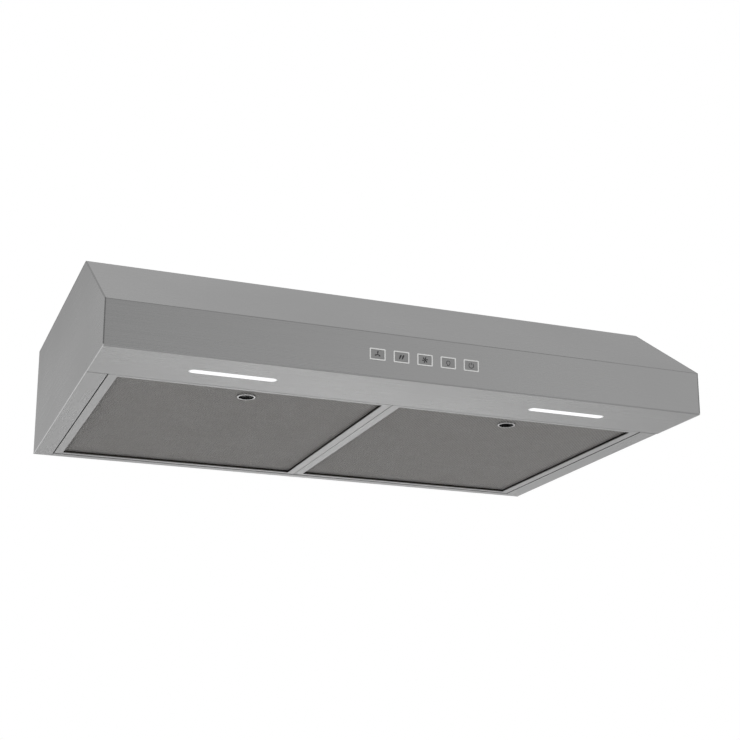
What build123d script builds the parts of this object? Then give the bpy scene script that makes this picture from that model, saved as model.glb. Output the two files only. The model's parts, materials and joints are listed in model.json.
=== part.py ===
from build123d import *
import os
from math import atan2, cos, pi, radians, sin, tan

# Under cabinet range hood, built as an assembly of separate pieces.
# Units are millimetres. +X is the right-hand end seen from the cook's side, -Y is the
# cook's side, +Y the wall and +Z up. The origin is the middle of the flat top face,
# which is screwed against the underside of a wall cabinet.

os.makedirs("parts", exist_ok=True)

# ---- driving dimensions -------------------------------------------------------------
WIDTH = 758.8  # nominal 30 inch hood
DEPTH = 508.0
HEIGHT = 151.0
FACE_HEIGHT = 55.0  # upright front face with the buttons
SLOPE_RUN = 141.0  # how far the sloped visor leans back
SHEET = 0.9  # stainless sheet of the shell
BEND = 1.7  # outside radius of the folds
GAP = 0.1  # clearance between pieces that lie against each other

FRONT = -DEPTH / 2
BACK = DEPTH / 2
HALF = WIDTH / 2
BOTTOM = -HEIGHT
FOLD_Z = BOTTOM + FACE_HEIGHT
TOP_FRONT = FRONT + SLOPE_RUN
SLOPE = atan2(-FOLD_Z, SLOPE_RUN)

# opening in the underside that the two filters close
RAIL_DEPTH = 101.0  # front rail that carries the lamps
SIDE_FLANGE = 25.2
REAR_FLANGE = 12.5
LIP = 11.0  # upturned edge round the opening
OPENING_FRONT = FRONT + RAIL_DEPTH
OPENING_BACK = BACK - REAR_FLANGE
OPENING_HALF = HALF - SIDE_FLANGE
RETURN = 14.0  # turned-over edges that join the panels

# grease filters
FILTER_SIDE_GAP = 1.2
FILTER_FRONT_GAP = 1.2
FILTER_REAR_GAP = 1.7
FILTER_CENTRE_GAP = 0.3
FILTER_HEIGHT = 8.6
FILTER_RAISE = 0.4  # filter face above the underside of the hood
FILTER_BAR_SIDE = 11.2
FILTER_BAR_FRONT = 5.8
FILTER_BAR_REAR = 6.8
FILTER_SHEET = 0.8
MESH_RECESS = 3.4
MESH_LAYERS = 3
MESH_LAYER = 0.35
MESH_PITCH = 1.7
MESH_TUCK = 4.0  # mesh caught inside the bars
FILTER_X0 = FILTER_CENTRE_GAP
FILTER_X1 = OPENING_HALF - FILTER_SIDE_GAP
FILTER_Y0 = OPENING_FRONT + FILTER_FRONT_GAP
FILTER_Y1 = OPENING_BACK - FILTER_REAR_GAP
FILTER_Z0 = BOTTOM + FILTER_RAISE
FILTER_Z1 = FILTER_Z0 + FILTER_HEIGHT
MESH_Z0 = FILTER_Z0 + MESH_RECESS
TAB_WIDTH = 22.0
TAB_OFFSET = 105.0
TAB_REACH = 6.4

# finger latch of each filter
LATCH_X = (FILTER_X0 + FILTER_X1) / 2
LATCH_Y = FILTER_Y0 + FILTER_BAR_FRONT + 34.0
LATCH_RING_R = 11.5
CUP_R = 10.4
CUP_WALL = 0.9
CUP_TOP = FILTER_Z1 + 3.6
CUP_RIM_Z = MESH_Z0 - 1.2
SLIDER_WIDTH = 8.0
SLIDER_Z0 = FILTER_Z1 + 0.2
SLIDER_THICK = 1.2
SLIDER_NOSE = 0.9  # how far the bolt stands out of the filter's front
SPRING_R = 1.9
SPRING_WIRE = 0.4

# buttons
BUTTON_NAMES = ("low", "medium", "high", "light", "power")
BUTTON_PITCH = 30.0
BUTTON_Z = BOTTOM + 28.0
CUTOUT_W = 20.0
CUTOUT_H = 14.4
BEZEL_RIM = 1.6
BEZEL_PROUD = 0.6
CAP_PROUD = 0.5
BUTTON_CLEAR = 0.3

# switch board behind the buttons
HOUSING_Y0 = FRONT + SHEET
HOUSING_Y1 = FRONT + 15.5
HOUSING_HALF = 76.0
HOUSING_HALF_Z = 14.0
HOUSING_WALL = 1.6
BOARD_Y0 = FRONT + 12.2
BOARD_THICK = 1.6
CAP_FLANGE_Y = FRONT + 4.8
CAP_REAR_Y = FRONT + 6.4
SWITCH_Y0 = FRONT + 9.0
STEM_Y0 = FRONT + 8.0

# lamps in the front rail
LAMP_X = 217.5
LAMP_Y = FRONT + 55.0
LAMP_LENGTH = 106.4
LAMP_WIDTH = 14.4
LAMP_CLEAR = 0.2
LENS_FLANGE = 2.5  # how far the lens reaches past its slot, above the sheet
LENS_FLANGE_Z = BOTTOM + SHEET
LENS_FLANGE_THICK = 1.6
LED_COUNT = 12
LED_PITCH = 8.4
LED_HALF_X = 52.0
LED_HALF_Y = 5.0
TRAY_HALF_X = 60.0
TRAY_HALF_Y = 14.0
TRAY_WALL = 1.0
TRAY_EAR = 12.0
TRAY_TOP = BOTTOM + SHEET + 11.0

# duct for a 3 1/4 by 10 inch pipe
DUCT_X = 253.0  # outside of the collar
DUCT_Y = 81.5
DUCT_CENTRE_Y = 184.0
DUCT_HEIGHT = 40.0
DUCT_FLANGE = 14.0  # the flange lies under the lid
DUCT_FLANGE_Z = -2 * SHEET
WALL_DUCT_Z0 = -100.0  # lower edge of the covered opening in the back
WALL_COVER_HALF = 137.0
WALL_COVER_Z = (-109.5, -7.5)

# damper flap in the collar
PIN_R = 1.5
PIN_RUN = 0.06  # running clearance of the flap's knuckles
PIN_Y = DUCT_CENTRE_Y + DUCT_Y / 2 - SHEET - 4.0
PIN_Z = 8.0
FLAP_THICK = 0.8
FLAP_FRONT = DUCT_CENTRE_Y - DUCT_Y / 2 + SHEET + 1.5

# blower
SHAFT_Y = 144.0
SHAFT_Z = -60.0
SHAFT_R = 4.0
SHAFT_RUN = 0.03
SHAFT_HALF = 119.0
SCROLL_HALF = 127.0
SCROLL_SHEET = 1.0
SCROLL_R = (58.0, 66.0, 74.0)  # quarter turns that open the spiral
SCROLL_Y = 143.25
SCROLL_Z = -64.0
SCROLL_CUTOFF = 6.0  # bar that closes the outlet's front edge
SCROLL_EAR = 14.0
BLOWER_TOP = DUCT_FLANGE_Z
INLET_R = 40.0
INLET_ROLL = 5.0
WHEEL_R = 48.0
WHEEL_INNER_R = 39.5
WHEEL_X0 = 54.0
WHEEL_X1 = 121.0
BLADES = 36
HUB_R = 9.0
HUB_X0 = 48.5
MOTOR_R = 38.0
MOTOR_HALF = 34.0
CAP_BOSS_R = 13.0
CAP_BOSS_X = 46.0
BEARING_R = 8.0
STATOR_HALF = 22.0
ROTOR_R = 21.8

# wiring
KNOCKOUT_R = 11.1  # 7/8 inch hole for a half inch cable clamp
KNOCKOUT_X = 265.0
KNOCKOUT_Y = 198.0
WIRING_X = (215.0, 315.0)
WIRING_Y = (150.0, 236.0)
WIRING_Z0 = -45.0
WIRING_EAR = 10.0
TERMINAL_X0 = 236.0
TERMINAL_Y = (160.0, 178.0)
TERMINAL_Z0 = -16.0
TERMINAL_PITCH = 12.0
TERMINAL_COUNT = 3

# run capacitor and lamp supply, hung under the lid
CAPACITOR_X = (150.0, 188.0)
CAPACITOR_Y = (60.0, 80.0)
CAPACITOR_Z0 = -31.0
DRIVER_X = (222.0, 302.0)
DRIVER_Y = (92.0, 126.0)
DRIVER_Z0 = -22.0
HANG_EAR = 12.0
HANG_EAR_THICK = 1.5

# slots for the screws into the cabinet
CABINET_X = 330.0
CABINET_Y = (-60.0, 190.0)
CABINET_SLOT_R = 2.75
CABINET_SLOT_LENGTH = 15.0

# small screws
SCREW_R = 1.75
SCREW_HOLE_R = 1.8
SCREW_HEAD_R = 3.4
SCREW_HEAD = 1.8


# ---- helpers --------------------------------------------------------------------------
def block(x0, x1, y0, y1, z0, z1):
    """Box between two corners."""
    size = Box(x1 - x0, y1 - y0, z1 - z0)
    return Pos((x0 + x1) / 2, (y0 + y1) / 2, (z0 + z1) / 2) * size


def rod(axis, x, y, z, radius, start, end):
    """Cylinder along one axis, from start to end measured along that axis."""
    body = Cylinder(radius, end - start, align=(Align.CENTER, Align.CENTER, Align.MIN))
    if axis == "x":
        return Pos(start, y, z) * Rot(0, 90, 0) * body
    if axis == "y":
        return Pos(x, start, z) * Rot(-90, 0, 0) * body
    return Pos(x, y, start) * body


def ring(axis, x, y, z, inner, outer, start, end):
    """Tube along one axis."""
    bore = rod(axis, x, y, z, inner, start - 1, end + 1)
    return rod(axis, x, y, z, outer, start, end) - bore


def slot_x(x, y, length, width, z0, z1):
    """Slot with round ends, its long way along X."""
    flat = Pos(x, y, z0) * SlotOverall(length, width)
    return extrude(flat, z1 - z0, dir=(0, 0, 1))


def mirrored(shape):
    """The same piece on the other side of the middle of the hood."""
    return mirror(shape, Plane.YZ)


def screw(axis, x, y, z, start, length, head_first):
    """Pan-head screw. start is where the head meets the sheet, head_first the head's side."""
    toward = 1 if head_first == "low" else -1
    head_end = start - toward * SCREW_HEAD
    tip = start + toward * length
    head = rod(axis, x, y, z, SCREW_HEAD_R, min(start, head_end), max(start, head_end))
    rims = head.edges().filter_by(GeomType.CIRCLE)
    far_rim = max(rims, key=lambda e: abs(along(axis, e.center()) - start))
    head = fillet(far_rim, 0.9)
    shank = rod(axis, x, y, z, SCREW_R, min(start, tip), max(start, tip))
    recess = cross_recess(axis, x, y, z, head_end, toward)
    return head + shank - recess


def along(axis, point):
    """Coordinate of a point on a named axis."""
    return {"x": point.X, "y": point.Y, "z": point.Z}[axis]


def cross_recess(axis, x, y, z, face, toward):
    """Cross slot in a screw head."""
    deep = 1.0
    arm, thick = 1.9, 0.4
    near, far = min(face, face + toward * deep), max(face, face + toward * deep)
    if axis == "z":
        wide = block(x - arm, x + arm, y - thick, y + thick, near, far)
        return wide + block(x - thick, x + thick, y - arm, y + arm, near, far)
    if axis == "y":
        wide = block(x - arm, x + arm, near, far, z - thick, z + thick)
        return wide + block(x - thick, x + thick, near, far, z - arm, z + arm)
    wide = block(near, far, y - arm, y + arm, z - thick, z + thick)
    return wide + block(near, far, y - thick, y + thick, z - arm, z + arm)


def holes(axis, places, radius, start, end):
    """Round holes through a sheet at several places."""
    return [rod(axis, x, y, z, radius, start, end) for x, y, z in places]


def group(pieces):
    """Several separate solids in one node."""
    return Compound([solid for piece in pieces for solid in piece.solids()])


def save(name, shape):
    export_step(shape, f"parts/{name}.step")


# ---- places that several pieces share ---------------------------------------------------
RIGHT_RIVETS = [(HALF - 8, y, 0) for y in (-90, 0, 90, 180, 235)]
LEFT_RIVETS = [(-x, y, z) for x, y, z in RIGHT_RIVETS]
REAR_RIVETS = [(x, BACK - 8, 0) for x in (-300, -200, 200, 300)]
FRONT_RIVETS = [(x, TOP_FRONT + 7, 0) for x in (-300, -150, 0, 150, 300)]
TOP_RIVETS = LEFT_RIVETS + RIGHT_RIVETS + REAR_RIVETS + FRONT_RIVETS
COLLAR_SCREWS = [(x, DUCT_CENTRE_Y - DUCT_Y / 2 - 10, 0) for x in (-110, 0, 110)]
COVER_SCREWS = [(x, BACK, z) for x, z in ((-132, -105), (0, -105), (132, -105), (-132, -12), (132, -12))]
BLOWER_END_SCREWS = [(SCROLL_HALF + 8, y, 0) for y in (150, 215)]
BLOWER_REAR_SCREWS = [(x, SCROLL_Y + 90, 0) for x in (-90, 90)]
BLOWER_SCREWS = BLOWER_END_SCREWS + [(-x, y, z) for x, y, z in BLOWER_END_SCREWS] + BLOWER_REAR_SCREWS
WIRING_SCREWS = [(x, (WIRING_Y[0] + WIRING_Y[1]) / 2, WIRING_Z0) for x in (221, 309)]
GROUND_SCREW = (298.0, 168.0, -SHEET)
LAMP_SCREWS = [(s * LAMP_X + d, LAMP_Y, BOTTOM + SHEET) for s in (-1, 1) for d in (-66, 66)]
CONTROL_SCREWS = [(x, FRONT + SHEET, BUTTON_Z) for x in (-84, 84)]
BUTTON_XS = [BUTTON_PITCH * (i - 2) for i in range(len(BUTTON_NAMES))]


# ---- shell ------------------------------------------------------------------------------
def canopy_front():
    """Visor slope, upright face and lamp rail, folded from one sheet."""
    skin = [
        (TOP_FRONT - SHEET / tan(SLOPE) + RETURN, -SHEET),
        (TOP_FRONT - SHEET / tan(SLOPE), -SHEET),
        (FRONT, FOLD_Z),
        (FRONT, BOTTOM),
        (OPENING_FRONT, BOTTOM),
        (OPENING_FRONT, BOTTOM + LIP),
    ]
    outer = Plane.YZ * FilletPolyline(*skin, radius=BEND)
    inner = Plane.YZ * FilletPolyline(*inset(skin, SHEET), radius=BEND - SHEET)
    ends = [Line(outer @ 0, inner @ 0), Line(outer @ 1, inner @ 1)]
    section = make_face(Wire(outer.edges() + inner.edges() + ends))
    sheet = Pos(-HALF, 0, 0) * extrude(section, WIDTH, dir=(1, 0, 0))
    for x in BUTTON_XS:
        sheet -= button_cutout(x)
    for s in (-1, 1):
        length, width = LAMP_LENGTH + 2 * LAMP_CLEAR, LAMP_WIDTH + 2 * LAMP_CLEAR
        sheet -= slot_x(s * LAMP_X, LAMP_Y, length, width, BOTTOM - 1, BOTTOM + 3)
    return sheet - holes("z", FRONT_RIVETS, SCREW_HOLE_R, -4, 0)


def inset(points, distance):
    """Corner points of a folded line moved to its left by a distance."""
    headings = [atan2(v1 - v0, u1 - u0) for (u0, v0), (u1, v1) in zip(points, points[1:])]
    moved = []
    for i, (u, v) in enumerate(points):
        before = headings[max(i - 1, 0)]
        after = headings[min(i, len(headings) - 1)]
        turn = (after - before + pi) % (2 * pi) - pi
        middle = before + turn / 2
        reach = distance / cos(turn / 2)
        moved.append((u - reach * sin(middle), v + reach * cos(middle)))
    return moved


def button_cutout(x):
    """Rectangular hole with small corner radii in the upright face."""
    window = RectangleRounded(CUTOUT_W, CUTOUT_H, 1.2)
    flat = Plane.XZ.offset(-(FRONT - 1)) * Pos(x, BUTTON_Z) * window
    return extrude(flat, 4, dir=(0, 1, 0))


def side_panel(canopy):
    """Right end panel with its turned-in bottom flange, lip and top flange."""
    lean = (SHEET + GAP) / cos(SLOPE)
    y_front = FRONT + SHEET + GAP
    outline = [
        (y_front, BOTTOM + SHEET + GAP),
        (y_front, FOLD_Z - lean + (SHEET + GAP) * tan(SLOPE)),
        (FRONT + (-SHEET - FOLD_Z + lean) / tan(SLOPE), -SHEET),
        (BACK - SHEET, -SHEET),
        (BACK - SHEET, BOTTOM),
        (OPENING_FRONT, BOTTOM),
        (OPENING_FRONT, BOTTOM + SHEET + GAP),
    ]
    face = make_face(Plane.YZ * Polyline(*outline, close=True))
    panel = Pos(HALF - SHEET, 0, 0) * extrude(face, SHEET, dir=(1, 0, 0))
    y_end = BACK - SHEET
    panel += block(OPENING_HALF, HALF, OPENING_FRONT, y_end, BOTTOM, BOTTOM + SHEET)
    lip_x = OPENING_HALF + SHEET
    panel += block(OPENING_HALF, lip_x, OPENING_FRONT, OPENING_BACK, BOTTOM, BOTTOM + LIP)
    panel += block(HALF - RETURN, HALF, TOP_FRONT + RETURN, y_end, -2 * SHEET, -SHEET)
    panel = rounded_long_edge(panel, HALF, BOTTOM, BEND)
    panel = rounded_long_edge(panel, HALF, -SHEET, SHEET)
    panel = rounded_long_edge(panel, OPENING_HALF, BOTTOM, BEND / 2)
    panel -= canopy
    return panel - holes("z", RIGHT_RIVETS, SCREW_HOLE_R, -4, 0)


def rounded_long_edge(panel, x, z, radius):
    """Rounds the long fold that runs front to back at one X and Z."""
    edges = [
        e
        for e in panel.edges().filter_by(Axis.Y)
        if abs(e.center().X - x) < 0.01 and abs(e.center().Z - z) < 0.01 and e.length > 200
    ]
    return fillet(edges, radius)


def top_panel():
    """Flat lid with the duct opening, the cable knockout and the cabinet slots."""
    plate = block(-HALF, HALF, TOP_FRONT, BACK, -SHEET, 0)
    half_x, half_y = DUCT_X / 2 + GAP, DUCT_Y / 2 + GAP
    y0, y1 = DUCT_CENTRE_Y - half_y, DUCT_CENTRE_Y + half_y
    plate -= block(-half_x, half_x, y0, y1, -5, 5)
    plate -= rod("z", KNOCKOUT_X, KNOCKOUT_Y, 0, KNOCKOUT_R, -5, 5)
    for s in (-1, 1):
        for y in CABINET_Y:
            width = 2 * CABINET_SLOT_R
            plate -= slot_x(s * CABINET_X, y, CABINET_SLOT_LENGTH, width, -5, 5)
    plate -= holes("z", TOP_RIVETS + COLLAR_SCREWS + BLOWER_SCREWS, SCREW_HOLE_R, -5, 5)
    plate -= holes("z", [GROUND_SCREW], SCREW_HOLE_R, -5, 5)
    return plate


def back_panel():
    """Wall side panel with the knocked-out opening for a wall duct."""
    plate = block(-HALF, HALF, BACK - SHEET, BACK, BOTTOM, -SHEET)
    plate += block(-OPENING_HALF, OPENING_HALF, OPENING_BACK, BACK, BOTTOM, BOTTOM + SHEET)
    x_end = HALF - RETURN - GAP
    plate += block(-x_end, x_end, BACK - RETURN, BACK, -2 * SHEET, -SHEET)
    half_x = DUCT_X / 2 + 0.5
    z1 = WALL_DUCT_Z0 + DUCT_Y + 1
    plate -= block(-half_x, half_x, BACK - 5, BACK + 5, WALL_DUCT_Z0, z1)
    plate -= holes("y", COVER_SCREWS, SCREW_HOLE_R, BACK - 5, BACK + 5)
    return plate - holes("z", REAR_RIVETS, SCREW_HOLE_R, -4, 0)


def rear_duct_cover():
    """Plate that closes the wall duct opening from inside."""
    y1 = BACK - SHEET
    x, (z0, z1) = WALL_COVER_HALF, WALL_COVER_Z
    plate = block(-x, x, y1 - SHEET, y1, z0, z1)
    plate += block(-x, x, y1 - 5, y1, z0, z0 + SHEET)
    return plate - holes("y", COVER_SCREWS, SCREW_HOLE_R, BACK - 5, BACK + 5)


def shell_rivets():
    """Flush rivets that hold the lid to the turned-over edges below it."""
    rivets = []
    for x, y, _ in TOP_RIVETS:
        shank = rod("z", x, y, 0, SCREW_R, -2 * SHEET, 0)
        rivets.append(shank + rod("z", x, y, 0, 2.9, -2 * SHEET - 0.9, -2 * SHEET))
    return group(rivets)


# ---- duct collar and damper -----------------------------------------------------------
def duct_collar():
    """Rectangular collar that a 3 1/4 by 10 inch duct slides over. Its flange is under the lid."""
    flange_x, flange_y = DUCT_X / 2 + DUCT_FLANGE, DUCT_Y / 2 + DUCT_FLANGE
    centre, z0 = DUCT_CENTRE_Y, DUCT_FLANGE_Z
    collar = block(-flange_x, flange_x, centre - flange_y, centre + flange_y, z0, z0 + SHEET)
    half_x, half_y = DUCT_X / 2, DUCT_Y / 2
    collar += block(-half_x, half_x, centre - half_y, centre + half_y, z0, DUCT_HEIGHT)
    upright = collar.edges().filter_by(Axis.Z).filter_by(lambda e: e.length > 30)
    collar = fillet(upright, 2.0)
    inner_x, inner_y = half_x - SHEET, half_y - SHEET
    bore = block(-inner_x, inner_x, centre - inner_y, centre + inner_y, -5, DUCT_HEIGHT + 5)
    collar -= fillet(bore.edges().filter_by(Axis.Z), 1.1)
    for s in (-1, 1):
        collar -= rod("x", 0, PIN_Y, PIN_Z, PIN_R, s * half_x - 3, s * half_x + 3)
    return collar - holes("z", COLLAR_SCREWS + BLOWER_SCREWS, SCREW_HOLE_R, -5, 5)


def duct_screws():
    """Screws of the collar and of the wall duct cover."""
    length = -DUCT_FLANGE_Z
    screws = [screw("z", x, y, DUCT_FLANGE_Z, DUCT_FLANGE_Z, length, "low") for x, y, _ in COLLAR_SCREWS]
    start = BACK - 2 * SHEET
    screws += [screw("y", x, y, z, start, 2 * SHEET, "low") for x, y, z in COVER_SCREWS]
    return group(screws)


def damper_pin():
    """Hinge pin across the collar with a peened head at each end."""
    end = DUCT_X / 2
    pin = rod("x", 0, PIN_Y, PIN_Z, PIN_R, -end - 1.2, end + 1.2)
    for s in (-1, 1):
        near, far = sorted((s * end, s * (end + 1.2)))
        pin += rod("x", 0, PIN_Y, PIN_Z, PIN_R + 1.1, near, far)
    return pin


def damper_flap():
    """Flap that lifts with the air flow and falls shut behind it."""
    knuckle_r = PIN_R + PIN_RUN + FLAP_THICK
    z0 = PIN_Z + knuckle_r - FLAP_THICK
    half_x = DUCT_X / 2 - SHEET - 1.6
    knuckle_half = 15.0
    flap = block(-half_x, half_x, FLAP_FRONT, PIN_Y - knuckle_r - 1, z0, z0 + FLAP_THICK)
    lip_y = FLAP_FRONT + FLAP_THICK
    flap += block(-half_x, half_x, FLAP_FRONT, lip_y, z0 - 3.0, z0 + FLAP_THICK)
    for x in (-100, 0, 100):
        x0, x1 = x - knuckle_half, x + knuckle_half
        flap += block(x0, x1, PIN_Y - knuckle_r - 1, PIN_Y, z0, z0 + FLAP_THICK)
        flap += rod("x", 0, PIN_Y, PIN_Z, knuckle_r, x0, x1)
    return flap - rod("x", 0, PIN_Y, PIN_Z, PIN_R + PIN_RUN, -half_x - 1, half_x + 1)


# ---- blower ---------------------------------------------------------------------------
def scroll_line(outward):
    """Spiral of three quarter turns with the upright rear wall of the outlet."""
    r1, r2, r3 = SCROLL_R
    step1, step2 = r2 - r1, r3 - r2
    top = (SCROLL_Y, SCROLL_Z + r1 + outward)
    front = (SCROLL_Y - r1 - outward, SCROLL_Z)
    low = (SCROLL_Y + step1, SCROLL_Z - r2 - outward)
    rear = (SCROLL_Y + step1 + r3 + outward, SCROLL_Z + step2)
    up = (rear[0], BLOWER_TOP)
    mouth = (SCROLL_Y, BLOWER_TOP)
    return mouth, top, front, low, rear, up


def scroll_path(outward):
    """The scroll's curve as edges, moved outward by a distance."""
    _, top, front, low, rear, up = scroll_line(outward)
    return [
        TangentArc(top, front, tangent=(-1, 0)),
        TangentArc(front, low, tangent=(0, -1)),
        TangentArc(low, rear, tangent=(1, 0)),
        Line(rear, up),
    ]


def scroll_interior():
    """Everything inside the scroll, for fitting pieces against its wall."""
    mouth, top, _, _, _, up = scroll_line(0)
    edges = scroll_path(0) + [Line(up, mouth), Line(mouth, top)]
    face = make_face(Plane.YZ * Wire([e.edge() for e in edges]))
    return Pos(-SCROLL_HALF, 0, 0) * extrude(face, 2 * SCROLL_HALF, dir=(1, 0, 0))


def blower_scroll():
    """Spiral wall of the twin blower, open at the top into the duct."""
    inner, outer = scroll_path(0), scroll_path(SCROLL_SHEET)
    start_in, start_out = scroll_line(0)[1], scroll_line(SCROLL_SHEET)[1]
    end_in, end_out = scroll_line(0)[5], scroll_line(SCROLL_SHEET)[5]
    edges = inner + outer + [Line(start_in, start_out), Line(end_in, end_out)]
    face = make_face(Plane.YZ * Wire([e.edge() for e in edges]))
    wall = Pos(-SCROLL_HALF, 0, 0) * extrude(face, 2 * SCROLL_HALF, dir=(1, 0, 0))
    half, top = SCROLL_HALF, BLOWER_TOP
    cutoff_y = DUCT_CENTRE_Y - DUCT_Y / 2 - 1
    wall += block(-half, half, SCROLL_Y - SCROLL_CUTOFF, cutoff_y, -SCROLL_CUTOFF, top)
    rear_y = end_out[0]
    wall += block(-half, half, rear_y - 0.5, rear_y + 13, top - SCROLL_SHEET, top)
    return wall - holes("z", BLOWER_REAR_SCREWS, SCREW_HOLE_R, -5, 0)


def blower_end():
    """Right end plate with its rolled inlet ring and top flange."""
    mouth, top, _, _, _, up = scroll_line(SCROLL_SHEET)
    edges = scroll_path(SCROLL_SHEET) + [Line(up, mouth), Line(mouth, top)]
    face = make_face(Plane.YZ * Wire([e.edge() for e in edges]))
    x0, x1 = SCROLL_HALF, SCROLL_HALF + SCROLL_SHEET
    plate = Pos(x0, 0, 0) * extrude(face, SCROLL_SHEET, dir=(1, 0, 0))
    y0 = SCROLL_Y - SCROLL_CUTOFF
    plate += block(x0, x1, y0, SCROLL_Y + 30, -30, BLOWER_TOP)
    plate -= rod("x", 0, SHAFT_Y, SHAFT_Z, INLET_R + INLET_ROLL, x0 - 1, x0 + 3)
    plate += inlet_ring(x0, INLET_ROLL)
    plate += block(x0, x0 + SCROLL_EAR, y0, up[0], BLOWER_TOP - SCROLL_SHEET, BLOWER_TOP)
    return plate - holes("z", BLOWER_END_SCREWS, SCREW_HOLE_R, -5, 0)


def inlet_ring(x0, roll):
    """Quarter-round lip that leads the air into the wheel."""
    outer_r = INLET_R + roll
    line = [
        Line((outer_r + 1, SCROLL_SHEET), (outer_r, SCROLL_SHEET)),
        TangentArc((outer_r, SCROLL_SHEET), (INLET_R, SCROLL_SHEET - roll), tangent=(-1, 0)),
        Line((INLET_R, SCROLL_SHEET - roll), (INLET_R + SCROLL_SHEET, SCROLL_SHEET - roll)),
        TangentArc((INLET_R + SCROLL_SHEET, SCROLL_SHEET - roll), (outer_r, 0), tangent=(0, 1)),
        Line((outer_r, 0), (outer_r + 1, 0)),
        Line((outer_r + 1, 0), (outer_r + 1, SCROLL_SHEET)),
    ]
    face = make_face(Plane.XZ * Wire([e.edge() for e in line]))
    lip = revolve(face, Axis.Z)
    return Pos(x0, SHAFT_Y, SHAFT_Z) * Rot(0, 90, 0) * lip


def blower_wheel():
    """Right squirrel-cage wheel: hub, drive disc, forward-curved blades and end ring."""
    disc = 1.2
    wheel = rod("x", 0, SHAFT_Y, SHAFT_Z, WHEEL_R, WHEEL_X0, WHEEL_X0 + disc)
    wheel += rod("x", 0, SHAFT_Y, SHAFT_Z, HUB_R, HUB_X0, WHEEL_X0 + 8)
    ring_r = WHEEL_INNER_R + 2
    wheel += ring("x", 0, SHAFT_Y, SHAFT_Z, ring_r, WHEEL_R, WHEEL_X1 - disc, WHEEL_X1)
    x0, x1 = WHEEL_X0 + disc / 2, WHEEL_X1 - disc / 2
    blades = []
    for i in range(BLADES):
        face = make_face(blade_outline(360 * i / BLADES))
        flat = Pos(x0, SHAFT_Y, SHAFT_Z) * (Plane.YZ * face)
        blades.append(extrude(flat, x1 - x0, dir=(1, 0, 0)))
    wheel = wheel.fuse(*blades)
    return wheel - rod("x", 0, SHAFT_Y, SHAFT_Z, SHAFT_R, HUB_X0 - 1, WHEEL_X0 + 10)


def blade_outline(turn):
    """Thin curved blade section between the wheel's inner and outer radius."""
    radii = (WHEEL_INNER_R, WHEEL_INNER_R + 4.2, WHEEL_R - 0.4)
    lead = (0.0, 2.4, 8.0)
    thick = 0.95
    near = [polar(r, turn + a) for r, a in zip(radii, lead)]
    far = [polar(r, turn + a + thick) for r, a in zip(radii, lead)]
    edges = [
        ThreePointArc(*near),
        Line(near[2], far[2]),
        ThreePointArc(*reversed(far)),
        Line(far[0], near[0]),
    ]
    return Wire([e.edge() for e in edges])


def polar(radius, angle):
    return (radius * cos(radians(angle)), radius * sin(radians(angle)))


def motor_case():
    """Steel can round the stator, with cooling slots."""
    case = ring("x", 0, SHAFT_Y, SHAFT_Z, MOTOR_R - 1.5, MOTOR_R, -MOTOR_HALF, MOTOR_HALF)
    for turn in range(0, 360, 60):
        y, z = polar(MOTOR_R, turn + 30)
        for s in (-1, 1):
            slot = Box(5, 14, 6)
            place = Pos(s * 27, SHAFT_Y + y, SHAFT_Z + z) * Rot(turn + 30 - 90, 0, 0)
            case -= place * slot
    return case


def motor_cap():
    """Right end cap with the bearing housing."""
    x0 = MOTOR_HALF
    cap = rod("x", 0, SHAFT_Y, SHAFT_Z, MOTOR_R, x0, x0 + 3)
    cap += rod("x", 0, SHAFT_Y, SHAFT_Z, CAP_BOSS_R, x0, CAP_BOSS_X)
    cap = fillet(cap.edges().filter_by(GeomType.CIRCLE).filter_by(lambda e: e.center().X > x0 + 1), 1.2)
    cap -= rod("x", 0, SHAFT_Y, SHAFT_Z, BEARING_R, x0 - 1, CAP_BOSS_X - 2)
    cap -= rod("x", 0, SHAFT_Y, SHAFT_Z, SHAFT_R + 1, x0, CAP_BOSS_X + 1)
    for turn in range(0, 360, 45):
        y, z = polar(25, turn)
        cap -= rod("x", 0, SHAFT_Y + y, SHAFT_Z + z, 4, x0 - 1, x0 + 4)
    return cap


def motor_bearings():
    """Sleeve bearing in each end cap."""
    pair = []
    for s in (-1, 1):
        x0, x1 = sorted((s * (MOTOR_HALF + 2), s * (CAP_BOSS_X - 2)))
        pair.append(ring("x", 0, SHAFT_Y, SHAFT_Z, SHAFT_R + SHAFT_RUN, BEARING_R, x0, x1))
    return group(pair)


def motor_stator():
    """Stator ring with slots for the windings."""
    inner = ROTOR_R + 0.7
    x0, x1 = -STATOR_HALF, STATOR_HALF
    stator = ring("x", 0, SHAFT_Y, SHAFT_Z, inner, MOTOR_R - 1.5, x0, x1)
    for turn in range(0, 360, 30):
        y, z = polar(inner + 4, turn)
        stator -= rod("x", 0, SHAFT_Y + y, SHAFT_Z + z, 2.5, x0 - 1, x1 + 1)
    return stator


def motor_rotor():
    """Laminated rotor core pressed on the shaft."""
    return ring("x", 0, SHAFT_Y, SHAFT_Z, SHAFT_R, ROTOR_R, -STATOR_HALF, STATOR_HALF)


def motor_shaft():
    """One shaft through the motor with a wheel at each end."""
    shaft = rod("x", 0, SHAFT_Y, SHAFT_Z, SHAFT_R, -SHAFT_HALF, SHAFT_HALF)
    return chamfer(shaft.edges().filter_by(GeomType.CIRCLE), 0.6)


def motor_bracket():
    """Band round the motor with four strips to the scroll wall."""
    band = ring("x", 0, SHAFT_Y, SHAFT_Z, MOTOR_R, MOTOR_R + 1.5, -12, 12)
    arms = block(-12, 12, SHAFT_Y - 1, SHAFT_Y + 1, BOTTOM, -6)
    arms += block(-12, 12, 0, BACK, SHAFT_Z - 1, SHAFT_Z + 1)
    arms -= rod("x", 0, SHAFT_Y, SHAFT_Z, MOTOR_R, -13, 13)
    return (band + arms) & scroll_interior()


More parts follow.
